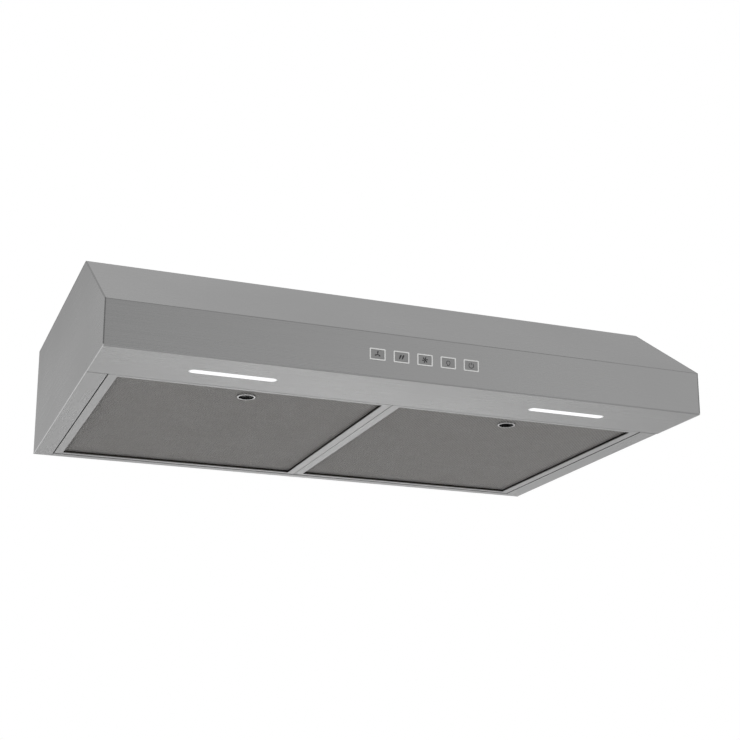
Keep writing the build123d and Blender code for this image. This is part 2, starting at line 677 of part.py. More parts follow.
def blower_screws():
    """Screws that hang the blower and the duct collar from the lid."""
    start = BLOWER_TOP - SCROLL_SHEET
    screws = [screw("z", x, y, z, start, -start, "low") for x, y, z in BLOWER_SCREWS]
    return group(screws)


def motor_capacitor():
    """Run capacitor with its mounting ear, fixed under the lid."""
    (x0, x1), (y0, y1) = CAPACITOR_X, CAPACITOR_Y
    ear_z = -SHEET - HANG_EAR_THICK
    body = block(x0, x1, y0, y1, CAPACITOR_Z0, ear_z)
    body = fillet(body.edges().filter_by(Axis.Z), 3)
    return body + block(x0, x1 + HANG_EAR, y0 + 2, y1 - 2, ear_z, -SHEET)


# ---- wiring ---------------------------------------------------------------------------
def wiring_box():
    """Four walls with foot flanges round the cable entry."""
    x0, x1 = WIRING_X
    y0, y1 = WIRING_Y
    box = block(x0, x1, y0, y1, WIRING_Z0, -SHEET)
    box -= block(x0 + SHEET, x1 - SHEET, y0 + SHEET, y1 - SHEET, WIRING_Z0 - 1, 0)
    z0, ear = -2 * SHEET, WIRING_EAR
    box += block(x0 - ear, x0, y0 + 10, y1 - 10, z0, -SHEET)
    box += block(x1, x1 + ear, y0 + 10, y1 - 10, z0, -SHEET)
    mid = (y0 + y1) / 2
    for x in (x0 + SHEET, x1 - SHEET - ear):
        box += block(x, x + ear, mid - 7, mid + 7, WIRING_Z0, WIRING_Z0 + SHEET)
    places = [(x, y, WIRING_Z0) for x, y, _ in WIRING_SCREWS]
    return box - holes("z", places, SCREW_HOLE_R, WIRING_Z0 - 1, WIRING_Z0 + 3)


def wiring_cover():
    """Lid over the wiring box."""
    x0, x1 = WIRING_X
    y0, y1 = WIRING_Y
    z0 = WIRING_Z0 - SHEET
    cover = block(x0 - 1, x1 + 1, y0 - SHEET, y1 + SHEET, z0, WIRING_Z0)
    for y in (y0 - SHEET, y1):
        cover += block(x0 - 1, x1 + 1, y, y + SHEET, z0, WIRING_Z0 + 8)
    return cover - holes("z", WIRING_SCREWS, SCREW_HOLE_R, z0 - 1, WIRING_Z0 + 1)


def wiring_screws():
    """Cover screws and the ground screw."""
    start = WIRING_Z0 - SHEET
    screws = [screw("z", x, y, z, start, 4.5, "low") for x, y, z in WIRING_SCREWS]
    x, y, _ = GROUND_SCREW
    screws.append(screw("z", x, y, 0, -SHEET, SHEET, "low"))
    return group(screws)


def terminal_block():
    """Terminal strip for the supply cable."""
    x1 = TERMINAL_X0 + TERMINAL_COUNT * TERMINAL_PITCH
    y0, y1 = TERMINAL_Y
    strip = block(TERMINAL_X0, x1, y0, y1, TERMINAL_Z0, -SHEET)
    for i in range(TERMINAL_COUNT):
        x = TERMINAL_X0 + TERMINAL_PITCH * (i + 0.5)
        strip -= rod("z", x, (y0 + y1) / 2, 0, 3.0, TERMINAL_Z0 - 1, TERMINAL_Z0 + 6)
        strip -= block(x - 3.2, x + 3.2, y0 - 1, y0 + 3, TERMINAL_Z0 + 4, TERMINAL_Z0 + 10)
        strip -= block(x - 3.2, x + 3.2, y1 - 3, y1 + 1, TERMINAL_Z0 + 4, TERMINAL_Z0 + 10)
    return strip


def led_driver():
    """Sealed supply for the two lamps."""
    (x0, x1), (y0, y1) = DRIVER_X, DRIVER_Y
    ear_z = -SHEET - HANG_EAR_THICK
    body = block(x0, x1, y0, y1, DRIVER_Z0, ear_z)
    body = fillet(body.edges().filter_by(Axis.Z), 3)
    return body + block(x0 - HANG_EAR, x1 + HANG_EAR, y0 + 8, y1 - 8, ear_z, -SHEET)


# ---- controls -------------------------------------------------------------------------
def control_housing():
    """Tray behind the upright face that holds the board and guides the buttons."""
    z0, z1 = BUTTON_Z - HOUSING_HALF_Z, BUTTON_Z + HOUSING_HALF_Z
    tray = block(-HOUSING_HALF, HOUSING_HALF, HOUSING_Y0, HOUSING_Y1, z0, z1)
    wall = HOUSING_WALL
    x_in = HOUSING_HALF - wall
    y_in = HOUSING_Y1 - wall
    tray -= block(-x_in, x_in, HOUSING_Y0 - 1, y_in, z0 + wall, z1 - wall)
    for s in (-1, 1):
        near, far = sorted((s * HOUSING_HALF, s * (HOUSING_HALF + 14)))
        tray += block(near, far, HOUSING_Y0, HOUSING_Y0 + 2, BUTTON_Z - 8, BUTTON_Z + 8)
        near, far = sorted((s * (x_in - 5), s * x_in))
        tray += block(near, far, BOARD_Y0 + BOARD_THICK, y_in, z0 + wall, z1 - wall)
    for i in range(len(BUTTON_NAMES) - 1):
        x = BUTTON_XS[i] + BUTTON_PITCH / 2
        tray += block(x - 0.8, x + 0.8, HOUSING_Y0 + 2, BOARD_Y0, z0 + wall, z1 - wall)
    return tray - holes("y", CONTROL_SCREWS, SCREW_HOLE_R, FRONT, FRONT + 5)


def control_board():
    """Printed circuit board of the switches."""
    half_x, half_z = HOUSING_HALF - HOUSING_WALL - GAP, HOUSING_HALF_Z - HOUSING_WALL - GAP
    y1 = BOARD_Y0 + BOARD_THICK
    z0, z1 = BUTTON_Z - half_z, BUTTON_Z + half_z
    return block(-half_x, half_x, BOARD_Y0, y1, z0, z1)


def tact_switches():
    """Momentary switch behind each button."""
    switches = []
    for x in BUTTON_XS:
        body = block(x - 3, x + 3, SWITCH_Y0, BOARD_Y0, BUTTON_Z - 3, BUTTON_Z + 3)
        switches.append(body + rod("y", x, 0, BUTTON_Z, 1.7, STEM_Y0, SWITCH_Y0))
    return group(switches)


def button_bezels():
    """Light rim round each button, with a flange behind the sheet."""
    bezels = []
    rear = FRONT + SHEET + 2.2
    for x in BUTTON_XS:
        width, height = CUTOUT_W - 2 * GAP, CUTOUT_H - 2 * GAP
        rim = upright_block(x, width, height, FRONT - BEZEL_PROUD, rear, 1.1)
        rim += upright_block(x, CUTOUT_W + 3, CUTOUT_H + 3, FRONT + SHEET, rear, 1.5)
        inner_w, inner_h = CUTOUT_W - 2 * BEZEL_RIM, CUTOUT_H - 2 * BEZEL_RIM
        bezels.append(rim - upright_block(x, inner_w, inner_h, FRONT - 1, rear + 1, 0.6))
    return group(bezels)


def upright_block(x, width, height, y0, y1, radius):
    """Block behind the face, centred on a button, with rounded corners."""
    flat = Plane.XZ.offset(-y0) * Pos(x, BUTTON_Z) * RectangleRounded(width, height, radius)
    return extrude(flat, y1 - y0, dir=(0, 1, 0))


def button_cap(x):
    """Key with a retaining flange and a plunger for its switch."""
    width = CUTOUT_W - 2 * BEZEL_RIM - 2 * BUTTON_CLEAR
    height = CUTOUT_H - 2 * BEZEL_RIM - 2 * BUTTON_CLEAR
    y0 = FRONT - CAP_PROUD
    cap = upright_block(x, width, height, y0, CAP_REAR_Y, 0.5)
    front_edges = cap.edges().filter_by(lambda e: abs(e.center().Y - y0) < 0.01)
    cap = chamfer(front_edges, 0.25)
    cap += upright_block(x, width + 3.2, height + 3.2, CAP_FLANGE_Y, CAP_REAR_Y, 1.0)
    return cap


def control_screws():
    """Screws through the housing's ears into the nuts pressed in the face."""
    screws = []
    for x, y, z in CONTROL_SCREWS:
        start = HOUSING_Y0 + 2
        screws.append(screw("y", x, y, z, start, 2, "high"))
    return group(screws)


# ---- lamps ----------------------------------------------------------------------------
def lamp_lens():
    """Right diffuser: it fills the slot in the rail and has a flange above the sheet."""
    lens = slot_x(LAMP_X, LAMP_Y, LAMP_LENGTH, LAMP_WIDTH, BOTTOM + 0.1, LENS_FLANGE_Z + 2)
    length, width = LAMP_LENGTH + 2 * LENS_FLANGE, LAMP_WIDTH + 2 * LENS_FLANGE
    z0, z1 = LENS_FLANGE_Z, LENS_FLANGE_Z + LENS_FLANGE_THICK
    return lens + slot_x(LAMP_X, LAMP_Y, length, width, z0, z1)


def lamp_board():
    """Right strip of light-emitting diodes."""
    z1 = TRAY_TOP - TRAY_WALL
    z0 = z1 - 1.2
    x0, x1 = LAMP_X - LED_HALF_X, LAMP_X + LED_HALF_X
    strip = block(x0, x1, LAMP_Y - LED_HALF_Y, LAMP_Y + LED_HALF_Y, z0, z1)
    for i in range(LED_COUNT):
        x = LAMP_X + LED_PITCH * (i - (LED_COUNT - 1) / 2)
        strip += block(x - 1.4, x + 1.4, LAMP_Y - 1.6, LAMP_Y + 1.6, z0 - 0.8, z0)
    return strip


def lamp_tray():
    """Right cover over the lamp, screwed to the rail."""
    x0, x1 = LAMP_X - TRAY_HALF_X, LAMP_X + TRAY_HALF_X
    y0, y1 = LAMP_Y - TRAY_HALF_Y, LAMP_Y + TRAY_HALF_Y
    tray = block(x0, x1, y0, y1, LENS_FLANGE_Z, TRAY_TOP)
    wall, z0 = TRAY_WALL, LENS_FLANGE_Z
    tray -= block(x0 + wall, x1 - wall, y0 + wall, y1 - wall, z0 - 1, TRAY_TOP - wall)
    tray += block(x0 - TRAY_EAR, x0, y0 + 4, y1 - 4, z0, z0 + wall)
    tray += block(x1, x1 + TRAY_EAR, y0 + 4, y1 - 4, z0, z0 + wall)
    screws = [p for p in LAMP_SCREWS if p[0] > 0]
    return tray - holes("z", screws, SCREW_HOLE_R, LENS_FLANGE_Z - 1, LENS_FLANGE_Z + 2)


def lamp_screws():
    """Short screws on studs inside the rail."""
    start = LENS_FLANGE_Z + TRAY_WALL
    screws = [screw("z", x, y, z, start, TRAY_WALL, "high") for x, y, z in LAMP_SCREWS]
    return group(screws)


# ---- filters --------------------------------------------------------------------------
def filter_frame():
    """Right frame: a folded channel round the mesh, open to the air in the middle."""
    frame = block(FILTER_X0, FILTER_X1, FILTER_Y0, FILTER_Y1, FILTER_Z0, FILTER_Z1)
    outer = frame.edges().filter_by(Axis.Z)
    frame = fillet(outer, 2.0)
    rim = frame.faces().sort_by(Axis.Z)[0].edges()
    frame = fillet(rim, 0.5)
    x0, x1 = FILTER_X0 + FILTER_BAR_SIDE, FILTER_X1 - FILTER_BAR_SIDE
    y0, y1 = FILTER_Y0 + FILTER_BAR_FRONT, FILTER_Y1 - FILTER_BAR_REAR
    frame -= block(x0, x1, y0, y1, FILTER_Z0 - 1, FILTER_Z1 + 1)
    skin = FILTER_SHEET
    z0, z1 = FILTER_Z0 + skin, MESH_Z0 - skin
    inside = block(
        FILTER_X0 + skin, FILTER_X1 - skin, FILTER_Y0 + skin, FILTER_Y1 - skin, z0, z1
    )
    inside -= block(x0 - skin, x1 + skin, y0 - skin, y1 + skin, z0 - 1, z1 + 1)
    frame -= inside
    tuck = MESH_TUCK + 0.2
    frame -= block(x0 - tuck, x1 + tuck, y0 - tuck, y1 + tuck, MESH_Z0 - 0.05, FILTER_Z1 - skin)
    return frame


def filter_mesh():
    """Right mesh pack: expanded metal layers caught in the frame."""
    x0 = FILTER_X0 + FILTER_BAR_SIDE - MESH_TUCK
    x1 = FILTER_X1 - FILTER_BAR_SIDE + MESH_TUCK
    y0 = FILTER_Y0 + FILTER_BAR_FRONT - MESH_TUCK
    y1 = FILTER_Y1 - FILTER_BAR_REAR + MESH_TUCK
    hole = rod("z", LATCH_X, LATCH_Y, 0, CUP_R + GAP, -200, 0)
    layers = []
    for i in range(MESH_LAYERS):
        z0 = MESH_Z0 + i * MESH_PITCH
        layers.append(block(x0, x1, y0, y1, z0, z0 + MESH_LAYER) - hole)
    return group(layers)


def filter_tabs():
    """Right pair of spring steel tabs that rest on the rear ledge."""
    tabs = []
    z0 = FILTER_Z0 + 1.6
    for s in (-1, 1):
        x0, x1 = LATCH_X + s * TAB_OFFSET - TAB_WIDTH / 2, LATCH_X + s * TAB_OFFSET + TAB_WIDTH / 2
        y0 = FILTER_Y1
        foot = block(x0, x1, y0, y0 + FILTER_SHEET, z0, FILTER_Z1 - 0.5)
        tongue = block(x0, x1, y0, y0 + TAB_REACH, z0, z0 + FILTER_SHEET)
        tabs.append(foot + tongue)
    return group(tabs)


def latch_cup():
    """Right finger cup: a bright ring below the mesh and a closed cup above it."""
    cup = rod("z", LATCH_X, LATCH_Y, 0, CUP_R, CUP_RIM_Z, CUP_TOP)
    cup -= rod("z", LATCH_X, LATCH_Y, 0, CUP_R - CUP_WALL, CUP_RIM_Z - 1, CUP_TOP - CUP_WALL)
    flange = rod("z", LATCH_X, LATCH_Y, 0, LATCH_RING_R, CUP_RIM_Z, MESH_Z0)
    flange -= rod("z", LATCH_X, LATCH_Y, 0, CUP_R - CUP_WALL, CUP_RIM_Z - 1, MESH_Z0 + 1)
    low = flange.faces().sort_by(Axis.Z)[0].edges()
    cup += fillet(low, 0.45)
    half = SLIDER_WIDTH / 2 + 0.4
    z0, z1 = SLIDER_Z0 - 0.15, SLIDER_Z0 + SLIDER_THICK + 0.4
    cup -= block(LATCH_X - half, LATCH_X + half, LATCH_Y - 20, LATCH_Y, z0, z1)
    return cup


def latch_slider():
    """Right bolt with the tab that a finger pulls back."""
    half = SLIDER_WIDTH / 2
    y0 = FILTER_Y0 - SLIDER_NOSE
    z0, z1 = SLIDER_Z0, SLIDER_Z0 + SLIDER_THICK
    bolt = block(LATCH_X - half, LATCH_X + half, y0, LATCH_Y + 3.5, z0, z1)
    nose = [
        e for e in bolt.edges().filter_by(Axis.X) if abs(e.center().Y - y0) < 0.01
    ]
    bolt = fillet(nose, 0.4)
    tab = block(LATCH_X - 5, LATCH_X + 5, LATCH_Y - 3, LATCH_Y - 1, MESH_Z0 + 0.6, z0)
    low = [e for e in tab.edges().filter_by(Axis.X) if e.center().Z < z0 - 1]
    return bolt + fillet(low, 0.7)


def latch_spring():
    """Right coil spring that pushes the bolt forward."""
    y0 = LATCH_Y + 3.5 + SPRING_WIRE
    y1 = LATCH_Y + CUP_R - CUP_WALL - SPRING_WIRE - 0.2
    turns = 3.5
    helix = Helix(pitch=(y1 - y0) / turns, height=y1 - y0, radius=SPRING_R)
    section = Plane(origin=helix @ 0, z_dir=helix % 0) * Circle(SPRING_WIRE / 2)
    coil = sweep(section, path=helix, is_frenet=True)
    middle = SLIDER_Z0 + SLIDER_THICK / 2 - 0.6
    return Pos(LATCH_X, y0, middle) * Rot(-90, 0, 0) * coil


def main():
    canopy = canopy_front()
    save("canopy_front", canopy)
    side = side_panel(canopy)
    save("side_panel_right", side)
    save("side_panel_left", mirrored(side))
    singles = [
        top_panel, back_panel, rear_duct_cover, shell_rivets, duct_collar, duct_screws,
        damper_pin, damper_flap, blower_scroll, motor_case, motor_bearings, motor_stator,
        motor_rotor, motor_shaft, motor_bracket, blower_screws, motor_capacitor, wiring_box,
        wiring_cover, wiring_screws, terminal_block, led_driver, control_housing,
        control_board, tact_switches, button_bezels, control_screws, lamp_screws,
    ]
    for make in singles:
        save(make.__name__, make())
    pairs = [
        blower_end, blower_wheel, motor_cap, lamp_lens, lamp_board, lamp_tray, filter_frame,
        filter_mesh, filter_tabs, latch_cup, latch_slider, latch_spring,
    ]
    for make in pairs:
        right = make()
        save(make.__name__ + "_right", right)
        save(make.__name__ + "_left", mirrored(right))
    for name, x in zip(BUTTON_NAMES, BUTTON_XS):
        save(f"button_{name}", button_cap(x))


main()
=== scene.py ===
import json
import math

import bmesh
import bpy
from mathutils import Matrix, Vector


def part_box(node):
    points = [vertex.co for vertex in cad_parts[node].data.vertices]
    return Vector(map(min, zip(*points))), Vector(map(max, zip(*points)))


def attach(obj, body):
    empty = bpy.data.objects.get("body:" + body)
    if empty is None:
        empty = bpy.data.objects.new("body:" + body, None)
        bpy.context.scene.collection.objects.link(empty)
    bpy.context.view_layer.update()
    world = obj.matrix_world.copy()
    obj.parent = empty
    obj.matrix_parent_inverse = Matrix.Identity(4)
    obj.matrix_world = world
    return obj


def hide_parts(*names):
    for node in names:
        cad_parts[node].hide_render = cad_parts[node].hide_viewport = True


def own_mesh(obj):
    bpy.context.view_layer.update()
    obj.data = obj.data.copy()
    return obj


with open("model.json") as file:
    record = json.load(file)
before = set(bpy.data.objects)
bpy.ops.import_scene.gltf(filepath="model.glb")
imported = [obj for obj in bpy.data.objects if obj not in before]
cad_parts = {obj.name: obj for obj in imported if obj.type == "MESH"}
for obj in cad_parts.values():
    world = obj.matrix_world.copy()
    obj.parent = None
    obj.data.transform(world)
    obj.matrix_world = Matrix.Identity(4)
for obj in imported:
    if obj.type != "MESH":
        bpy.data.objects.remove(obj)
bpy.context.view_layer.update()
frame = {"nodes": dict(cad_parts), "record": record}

RECORD = frame["record"]
BODY_OF = {node: body for body, nodes in RECORD["behaviour"]["bodies"].items() for node in nodes}
SIDES = ("left", "right")


# ---------------------------------------------------------------- materials

X_AXIS, Y_AXIS = 0, 1
BLACK = (0.0, 0.0, 0.0, 1.0)

STEEL = 0.445  # how much light the ground sheet returns
FILTER_ALUMINIUM = 0.50
GROUND_ACROSS, GROUND_ALONG = 1400.0, 9.0  # scale of the fine belt marks
STREAK_ACROSS, STREAK_ALONG = 160.0, 2.5  # scale of the broad streaks
GROUND_RELIEF = 0.00001
SHEET_CLOUDS = 5.0

SIDE_FLANGE = 0.0252  # width of a side panel's turned-in bottom flange
FOLD_WIDTH = 0.0011  # how far the painted highlight along a fold or at the rail's end reaches
SEAM_WIDTH = 0.0014  # how far the painted shade reaches in from a joint
SEAM_START = 0.002  # the painted shade starts this far above the bottom
PAST = 0.001  # zones on the outer skin run this far past it
EDGE_REACH = 0.0002  # the painted shade at the flange's cut edge reaches this far, inwards and outwards
EDGE_START, EDGE_END = 0.0001, 0.0012  # and its heights over the bottom
FOLD_HIGHLIGHT, RAIL_END_HIGHLIGHT = 2.1, 1.55  # brightness of the painted highlights against the rest of the sheet
# darkness of the painted shade along the joints and at the flange's cut edge, against the rest of the sheet
SEAM_SHADE_TONE, EDGE_SHADE_TONE = 0.55, 0.15
SIDE_PAINTED_SHADE = (-0.085, -0.015, 0.14)  # painted shade: a side panel darkens between these heights, by this share

FILTER_BAR_SIDE = 0.0112  # width of the filter's bars
FILTER_BAR_FRONT = 0.0058
FILTER_BAR_REAR = 0.0068
WALL_SHADE_REACH = 0.0004  # the painted shade on the inner walls starts this far inside the bars
WALL_SHADE_START, WALL_SHADE_FULL = 0.0003, 0.0012  # heights over the filter's face where the walls turn dark with painted shade

LENS_BRIGHT = 0.0042  # the lens is fully lit this near to its middle line
LENS_RIM = 0.0072  # and dark from here on


class NodeTree:
    """An empty node tree, with short ways to fill it."""

    def __init__(self, owner):
        owner.use_nodes = True
        self.tree = owner.node_tree
        self.tree.nodes.clear()

    def add(self, kind, values=None, **settings):
        node = self.tree.nodes.new(kind)
        for key, value in settings.items():
            setattr(node, key, value)
        for key, value in (values or {}).items():
            self.put(node.inputs[key], value)
        return node

    def put(self, socket, value):
        if isinstance(value, bpy.types.NodeSocket):
            self.tree.links.new(value, socket)
        else:
            socket.default_value = value

    def calc(self, first, second, operation="ADD"):
        """The sum of two values, or another operation on them."""
        node = self.add("ShaderNodeMath", operation=operation)
        self.put(node.inputs[0], first)
        self.put(node.inputs[1], second)
        return node.outputs[0]


class Finish(NodeTree):
    """One material's node tree. Places are read in the part's own frame, in metres."""

    def __init__(self, name):
        self.material = bpy.data.materials.new(name)
        super().__init__(self.material)
        self.place = self.add("ShaderNodeTexCoord").outputs["Object"]

    def noise(self, scale, detail=3.0, rough=0.5):
        """Noise from about 0.25 to 0.75, with one scale or one for each axis."""
        scale = scale if isinstance(scale, (tuple, list)) else (scale,) * 3
        mapping = self.add("ShaderNodeMapping", {"Vector": self.place, "Scale": scale})
        values = {"Vector": mapping.outputs["Vector"], "Scale": 1.0, "Detail": detail, "Roughness": rough}
        return self.add("ShaderNodeTexNoise", values).outputs["Fac"]

    def cells(self, scale, feature="F1", output="Distance"):
        values = {"Vector": self.place, "Scale": scale}
        return self.add("ShaderNodeTexVoronoi", values, feature=feature).outputs[output]

    def span(self, value, low, high, start=0.3, end=0.7):
        """The value, from start to end, stretched to low to high."""
        values = {"Value": value, "From Min": start, "From Max": end, "To Min": low, "To Max": high}
        return self.add("ShaderNodeMapRange", values).outputs["Result"]

    def mix(self, amount, first, second):
        """From the first colour to the second as the amount goes from 0 to 1."""
        node = self.add("ShaderNodeMix", data_type="RGBA")
        self.put(node.inputs[0], amount)
        self.put(node.inputs[6], first)
        self.put(node.inputs[7], second)
        return node.outputs[2]

    def along(self, axis):
        """The place along X, Y or Z."""
        return self.add("ShaderNodeSeparateXYZ", {"Vector": self.place}).outputs[axis]

    def inside(self, mirrored=False, **limits):
        """1 inside the limits along X, Y or Z, else 0. Mirrored measures X outwards from the middle."""
        share = 1.0
        for axis, (low, high) in limits.items():
            value = self.along(axis)
            if mirrored and axis == "X":
                value = self.calc(value, 0.0, "ABSOLUTE")
            share = self.calc(share, self.calc(value, low, "GREATER_THAN"), "MULTIPLY")
            share = self.calc(share, self.calc(value, high, "LESS_THAN"), "MULTIPLY")
        return share

    def bump(self, height, distance, strength=1.0):
        values = {"Height": height, "Distance": distance, "Strength": strength}
        return self.add("ShaderNodeBump", values).outputs["Normal"]

    def surface(self, **sockets):
        names = {key.replace("_", " "): value for key, value in sockets.items()}
        shader = self.add("ShaderNodeBsdfPrincipled", names)
        self.add("ShaderNodeOutputMaterial", {"Surface": shader.outputs[0]})
        return self.material


def grey(value, warm=0.0):
    """A grey, a little redder where warm is over 0."""
    return (value * (1 + warm), value, value * (1 - warm), 1.0)


def brushed(name, value, along, rough=0.3, dull=None, painted_light_zones=()):
    """Sheet metal ground with a fine belt: streaks along one axis and faint clouds.
    dull is the painted shade: the height where the sheet starts to darken, the height where it is darkest,
    and by how much.
    The zones given last lie at both ends, such as painted highlights along folds and painted shade along
    joints, each with its brightness against the rest."""
    f = Finish(name)
    fine = [GROUND_ACROSS] * 3
    broad = [STREAK_ACROSS] * 3
    fine[along], broad[along] = GROUND_ALONG, STREAK_ALONG
    grain = f.noise(fine, detail=2.0, rough=0.6)
    streaks = f.noise(broad)
    clouds = f.noise(SHEET_CLOUDS, detail=2.0)
    tone = f.mix(f.span(grain, 0, 1), grey(value * 0.97), grey(value * 1.03))
    tone = f.mix(f.span(streaks, 0, 0.3), tone, grey(value * 0.985))
    tone = f.mix(f.span(clouds, 0, 0.25), tone, grey(value * 0.97))
    # painted shade: the sheet darkens towards black between two heights
    if dull:
        start, end, amount = dull
        tone = f.mix(f.span(f.along("Z"), 0, amount, start, end), tone, BLACK)
    # painted highlights and painted shade, in zones at both ends of the sheet
    for zone, factor in painted_light_zones:
        tone = f.mix(f.inside(mirrored=True, **zone), tone, grey(value * factor))
    gloss = f.calc(f.span(grain, rough - 0.03, rough + 0.03), f.span(clouds, -0.02, 0.02))
    return f.surface(Base_Color=tone, Metallic=1.0, Roughness=gloss, Normal=f.bump(grain, GROUND_RELIEF))


def filter_frame_finish(side, value):
    """The filter's channel, ground like the shell, with painted shade darkening its inner walls where the
    mesh goes in.
    """
    f = Finish("filter_frame_aluminium_" + side)
    low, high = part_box("filter_frame_" + side)
    side_bar = FILTER_BAR_SIDE - WALL_SHADE_REACH
    front, rear = FILTER_BAR_FRONT - WALL_SHADE_REACH, FILTER_BAR_REAR - WALL_SHADE_REACH
    # the inner walls, where the painted shade goes
    dark = f.inside(X=(low.x + side_bar, high.x - side_bar), Y=(low.y + front, high.y - rear))
    height = f.span(f.along("Z"), 0, 1, low.z + WALL_SHADE_START, low.z + WALL_SHADE_FULL)
    dark = f.calc(dark, height, "MULTIPLY")
    grain = f.noise((GROUND_ACROSS, GROUND_ALONG, GROUND_ACROSS), detail=2.0, rough=0.6)
    clouds = f.noise(SHEET_CLOUDS, detail=2.0)
    tone = f.mix(f.span(grain, 0, 1), grey(value * 0.94), grey(value * 1.06))
    tone = f.mix(f.span(clouds, 0, 0.25), tone, grey(value * 0.95))
    # painted shade: the inner walls turn near black
    tone = f.mix(dark, tone, f.mix(f.span(clouds, 0, 1), grey(0.03, 0.1), grey(0.06, 0.1)))
    gloss = f.calc(f.span(grain, 0.31, 0.37), f.calc(dark, 0.2, "MULTIPLY"))
    return f.surface(Base_Color=tone, Metallic=1.0, Roughness=gloss, Normal=f.bump(grain, GROUND_RELIEF))


def spangled(name, value, rough=0.42):
    """Hot-dip zinc: pale crystals a centimetre across, with a dull bloom."""
    f = Finish(name)
    crystals = f.cells(140.0, output="Color")
    bloom = f.noise(18.0, detail=4.0)
    tone = f.mix(f.span(crystals, 0, 1, 0.1, 0.9), grey(value * 0.8, -0.01), grey(value * 1.12, -0.02))
    tone = f.mix(f.span(bloom, 0, 0.4), tone, grey(value * 0.9, -0.01))
    gloss = f.calc(f.span(crystals, rough - 0.07, rough + 0.07, 0.1, 0.9), f.span(bloom, 0, 0.08))
    return f.surface(Base_Color=tone, Metallic=1.0, Roughness=gloss, Normal=f.bump(bloom, 0.0001))


def worked_metal(name, value, rough, warm=0.0, scale=400.0):
    """Cast, stamped or plated metal with a fine tooth and uneven lustre."""
    f = Finish(name)
    tooth = f.noise(scale)
    clouds = f.noise(scale / 16)
    tone = f.mix(f.span(tooth, 0, 1), grey(value * 0.9, warm), grey(value * 1.08, warm))
    tone = f.mix(f.span(clouds, 0, 0.4), tone, grey(value * 0.86, warm))
    gloss = f.calc(f.span(tooth, rough - 0.05, rough + 0.05), f.span(clouds, 0, 0.06))
    return f.surface(Base_Color=tone, Metallic=1.0, Roughness=gloss, Normal=f.bump(tooth, 0.00003))


def mesh_finish(name, value, share):
    """Slit and stretched aluminium: each strand throws light every way, so it is part dull, part bright."""
    f = Finish(name)
    tooth = f.noise(1100.0, detail=2.0)
    clouds = f.noise(22.0)
    tone = f.mix(f.span(tooth, 0, 1), grey(value * 0.82, 0.015), grey(value * 1.16, 0.015))
    tone = f.mix(f.span(clouds, 0, 0.5), tone, grey(value * 0.88, 0.03))
    gloss = f.calc(f.span(tooth, 0.38, 0.5), f.span(clouds, 0, 0.06))
    return f.surface(Base_Color=tone, Metallic=share, Roughness=gloss, Normal=f.bump(tooth, 0.00003))


def moulded(name, colour, rough, relief=0.00002):
    """Moulded plastic or paint: fine spark texture and slight clouding."""
    f = Finish(name)
    tooth = f.noise(1500.0, detail=2.0)
    clouds = f.noise(30.0)
    low, high = (tuple(c * share for c in colour) + (1.0,) for share in (0.88, 1.12))
    tone = f.mix(f.span(clouds, 0, 1), low, high)
    tone = f.mix(f.span(tooth, 0, 0.3), tone, low)
    gloss = f.calc(f.span(tooth, rough - 0.05, rough + 0.05), f.span(clouds, 0, 0.08))
    return f.surface(Base_Color=tone, Roughness=gloss, Normal=f.bump(tooth, relief))


def laminated(name):
    """A stack of punched steel sheets: fine bands across the X axis."""
    f = Finish(name)
    values = {"Vector": f.place, "Scale": 320.0, "Distortion": 0.4}
    layers = f.add("ShaderNodeTexWave", values, bands_direction="X").outputs["Fac"]
    clouds = f.noise(60.0)
    tone = f.mix(f.span(layers, 0, 1, 0, 1), grey(0.12, 0.05), grey(0.34, 0.03))
    tone = f.mix(f.span(clouds, 0, 0.4), tone, (0.16, 0.09, 0.05, 1))
    gloss = f.span(clouds, 0.4, 0.6)
    return f.surface(Base_Color=tone, Metallic=0.9, Roughness=gloss, Normal=f.bump(layers, 0.0001))


def circuit_board(name):
    """Solder mask over copper: darker board, lighter traces, dull sheen."""
    f = Finish(name)
    traces = f.cells(260.0, feature="DISTANCE_TO_EDGE")
    grain = f.noise(900.0)
    tone = f.mix(f.span(traces, 1, 0, 0.02, 0.09), (0.012, 0.07, 0.03, 1), (0.03, 0.15, 0.07, 1))
    tone = f.mix(f.span(grain, 0, 0.3), tone, (0.008, 0.05, 0.02, 1))
    relief = f.bump(traces, 0.00005, 0.4)
    return f.surface(Base_Color=tone, Roughness=f.span(grain, 0.3, 0.45), Normal=relief)


def glowing(name, strength):
    """The opal lens over its strip of lamps, lit from behind and dimmer towards its round-ended rim."""
    f = Finish(name)
    low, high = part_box("lamp_lens_right")
    centre = (low + high) / 2
    straight = (high.x - low.x - high.y + low.y) / 2
    outwards = f.calc(f.along("X"), 0.0, "ABSOLUTE")
    lengthways = f.calc(f.calc(outwards, centre.x, "SUBTRACT"), 0.0, "ABSOLUTE")
    past = f.calc(f.calc(lengthways, straight, "SUBTRACT"), 0.0, "MAXIMUM")
    across = f.calc(f.along("Y"), centre.y, "SUBTRACT")
    away = f.calc(f.calc(past, past, "MULTIPLY"), f.calc(across, across, "MULTIPLY"))
    rim = f.span(f.calc(away, 0.5, "POWER"), 0, 1, LENS_BRIGHT, LENS_RIM)
    clouds = f.noise(120.0)
    grain = f.noise(1200.0)
    tone = f.mix(f.span(clouds, 0, 1), (0.86, 0.87, 0.88, 1), (0.93, 0.93, 0.93, 1))
    glow = f.mix(f.span(clouds, 0, 1), (0.97, 0.985, 1.0, 1), (1.0, 1.0, 1.0, 1))
    glow = f.mix(rim, glow, grey(0.05))
    return f.surface(Base_Color=tone, Roughness=f.span(grain, 0.35, 0.45), Emission_Color=glow,
                     Emission_Strength=strength, Normal=f.bump(grain, 0.00002))


